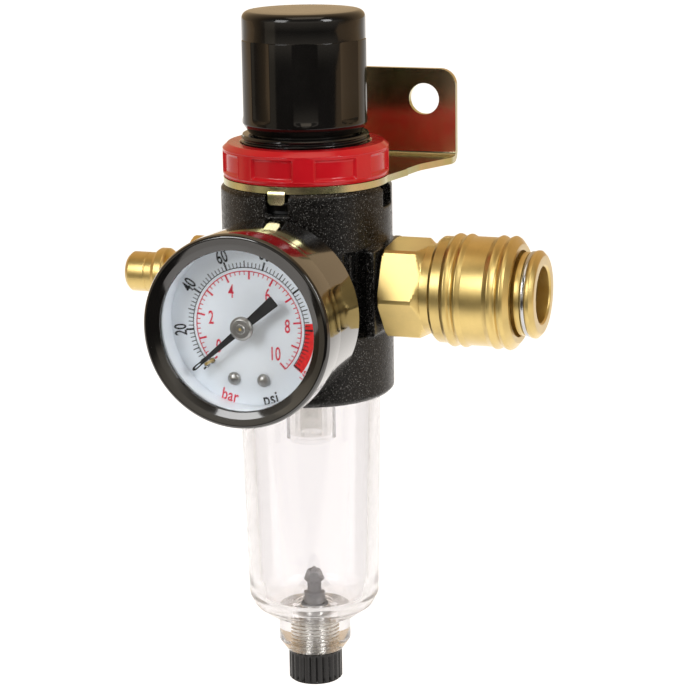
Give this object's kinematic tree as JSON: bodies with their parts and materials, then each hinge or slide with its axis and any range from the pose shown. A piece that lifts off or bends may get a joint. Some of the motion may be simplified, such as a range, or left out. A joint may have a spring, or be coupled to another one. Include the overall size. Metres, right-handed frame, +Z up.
{
  "type": "air pressure regulator",
  "caption": "Compact air filter-regulator with adjusting knob, pressure gauge, clear filter bowl with drain, wall bracket, brass quick coupler outlet and plug nipple inlet.",
  "frame": {"origin": "midway between the two holes of the wall bracket, on the bracket's mounting face", "axes": "+Z up along the knob axis; +Y towards the wall the bracket is screwed to; +X towards the outlet coupler; the gauge faces -Y"},
  "size_m": [0.1029, 0.0827, 0.163],
  "materials": {
    "body_paint": "fine metallic speckle, semi gloss",
    "black_plastic": "satin moulded",
    "red_plastic": "gloss moulded",
    "zinc_plated_steel": "yellow passivated zinc",
    "brass": "turned",
    "phosphor_bronze": "drawn",
    "nickel_plated_brass": "nickel plated thread",
    "steel": "polished",
    "spring_steel": "drawn wire",
    "rubber": "matte",
    "plate_aluminium": "stamped",
    "filter_media": "sintered",
    "clear_bowl": "clear polycarbonate",
    "clear_plastic": "clear moulded",
    "grey_plastic": "moulded",
    "gauge_enamel": "gloss black enamel",
    "gauge_glass": "polished",
    "dial_white": "matte white print ground",
    "pointer_black": "matte black"
  },
  "bodies": {
    "regulator": {"regulator_body": "body_paint", "bonnet": "black_plastic", "valve_guide": "black_plastic", "air_deflector": "black_plastic", "mounting_bracket": "zinc_plated_steel", "valve_seat": "brass", "coupler_body": "brass", "coupler_front_ring": "brass", "poppet_seat": "brass", "inlet_nipple": "brass", "rear_port_plug": "brass", "gauge_socket": "brass", "movement_frame": "brass", "pointer_stop_pin": "brass", "bourdon_tube": "phosphor_bronze", "tube_tip": "phosphor_bronze", "thrust_washer": "steel", "snap_ring": "steel", "dial_screws": "steel", "adjusting_spring": "spring_steel", "valve_spring": "spring_steel", "sleeve_spring": "spring_steel", "poppet_spring": "spring_steel", "diaphragm": "rubber", "bowl_o_ring": "rubber", "coupler_lip_seal": "rubber", "outlet_seal": "rubber", "inlet_seal": "rubber", "filter_element": "filter_media", "filter_retainer": "clear_plastic", "gauge_case": "gauge_enamel", "gauge_bezel": "gauge_enamel", "gauge_window": "gauge_glass", "gauge_dial": "dial_white", "window_gasket": "dial_white"},
    "adjusting_screw": {"adjusting_screw": "brass"},
    "knob": {"knob": "black_plastic"},
    "spring_seat": {"upper_spring_seat": "brass"},
    "diaphragm_centre": {"diaphragm_plate": "plate_aluminium", "diaphragm_washer": "plate_aluminium"},
    "valve": {"valve_stem": "brass", "valve_seal": "rubber"},
    "lock_nut": {"lock_nut": "red_plastic"},
    "bowl": {"bowl": "clear_bowl", "drain_bush": "nickel_plated_brass"},
    "drain_cap": {"drain_cap": "black_plastic"},
    "drain_stem": {"drain_stem": "grey_plastic", "drain_seal": "rubber"},
    "coupler_sleeve": {"coupler_sleeve": "brass"},
    "ball_1": {"locking_ball_1": "steel"},
    "ball_2": {"locking_ball_2": "steel"},
    "ball_3": {"locking_ball_3": "steel"},
    "ball_4": {"locking_ball_4": "steel"},
    "coupler_valve": {"coupler_poppet": "brass", "poppet_seal": "rubber"},
    "pointer": {"pointer": "pointer_black", "pointer_arbor": "brass", "hairspring": "phosphor_bronze"},
    "sector": {"sector_gear": "brass"},
    "link": {"movement_link": "brass"}
  },
  "joints": [
    {"name": "knob_turn", "type": "hinge", "parent": "regulator", "child": "adjusting_screw", "pos_m": [0, -0.036, 0.0108], "axis": [0, 0, -1], "range_deg": [0, 1440]},
    {"name": "knob_lift", "type": "slide", "parent": "adjusting_screw", "child": "knob", "axis": [0, 0, 1], "range_m": [0, 0.0022]},
    {"name": "spring_seat_travel", "type": "slide", "parent": "regulator", "child": "spring_seat", "axis": [0, 0, -1], "range_m": [0, 0.006], "deforming": ["adjusting_spring"]},
    {"name": "diaphragm_travel", "type": "slide", "parent": "regulator", "child": "diaphragm_centre", "axis": [0, 0, -1], "range_m": [0, 0.001], "stiffness_N_per_m": 900, "springref_m": -0.001, "deforming": ["diaphragm", "valve_spring"]},
    {"name": "valve_travel", "type": "slide", "parent": "regulator", "child": "valve", "axis": [0, 0, -1], "range_m": [0, 0.001]},
    {"name": "lock_nut_turn", "type": "hinge", "parent": "regulator", "child": "lock_nut", "pos_m": [0, -0.036, -0.0102], "axis": [0, 0, 1], "range_deg": [0, 360]},
    {"name": "bowl_turn", "type": "hinge", "parent": "regulator", "child": "bowl", "pos_m": [0, -0.036, -0.0592], "axis": [0, 0, 1], "range_deg": [0, 360]},
    {"name": "drain_turn", "type": "hinge", "parent": "bowl", "child": "drain_cap", "pos_m": [0, -0.036, -0.1342], "axis": [0, 0, 1], "range_deg": [0, 360]},
    {"name": "drain_stem_lift", "type": "slide", "parent": "bowl", "child": "drain_stem", "axis": [0, 0, 1], "range_m": [0, 0.0015]},
    {"name": "sleeve_pull", "type": "slide", "parent": "regulator", "child": "coupler_sleeve", "axis": [-1, 0, 0], "range_m": [0, 0.003], "stiffness_N_per_m": 900, "springref_m": -0.003, "deforming": ["sleeve_spring"]},
    {"name": "ball_out_1", "type": "slide", "parent": "regulator", "child": "ball_1", "axis": [0, 0, 1], "range_m": [0, 0.0012]},
    {"name": "ball_out_2", "type": "slide", "parent": "regulator", "child": "ball_2", "axis": [0, 0, -1], "range_m": [0, 0.0012]},
    {"name": "ball_out_3", "type": "slide", "parent": "regulator", "child": "ball_3", "axis": [0, 1, 0], "range_m": [0, 0.0012]},
    {"name": "ball_out_4", "type": "slide", "parent": "regulator", "child": "ball_4", "axis": [0, -1, 0], "range_m": [0, 0.0012]},
    {"name": "coupler_valve_travel", "type": "slide", "parent": "regulator", "child": "coupler_valve", "axis": [-1, 0, 0], "range_m": [0, 0.004], "stiffness_N_per_m": 500, "springref_m": -0.003, "deforming": ["poppet_spring"]},
    {"name": "pointer_turn", "type": "hinge", "parent": "regulator", "child": "pointer", "pos_m": [0, -0.076, -0.0412], "axis": [0, 1, 0], "range_deg": [0, 270], "stiffness_Nm_per_rad": 0.00005, "springref_deg": -20.05},
    {"name": "sector_turn", "type": "hinge", "parent": "regulator", "child": "sector", "pos_m": [0, -0.07, -0.0517], "axis": [0, -1, 0], "range_deg": [0, 54]},
    {"name": "link_turn", "type": "hinge", "parent": "sector", "child": "link", "pos_m": [0.00433, -0.0716, -0.0542], "axis": [0, 1, 0], "range_deg": [0, 54]}
  ],
  "couplings": [
    {"joint": "knob_turn", "follows": "spring_seat_travel", "rad_per_m": 4188.8},
    {"joint": "valve_travel", "follows": "diaphragm_travel", "ratio": 1},
    {"joint": "drain_turn", "follows": "drain_stem_lift", "rad_per_m": 4188.8},
    {"joint": "sector_turn", "follows": "pointer_turn", "ratio": 0.2},
    {"joint": "link_turn", "follows": "pointer_turn", "ratio": 0.2},
    {"joint": "ball_out_1", "follows": "sleeve_pull", "ratio": 0.4},
    {"joint": "ball_out_2", "follows": "sleeve_pull", "ratio": 0.4},
    {"joint": "ball_out_3", "follows": "sleeve_pull", "ratio": 0.4},
    {"joint": "ball_out_4", "follows": "sleeve_pull", "ratio": 0.4}
  ]
}
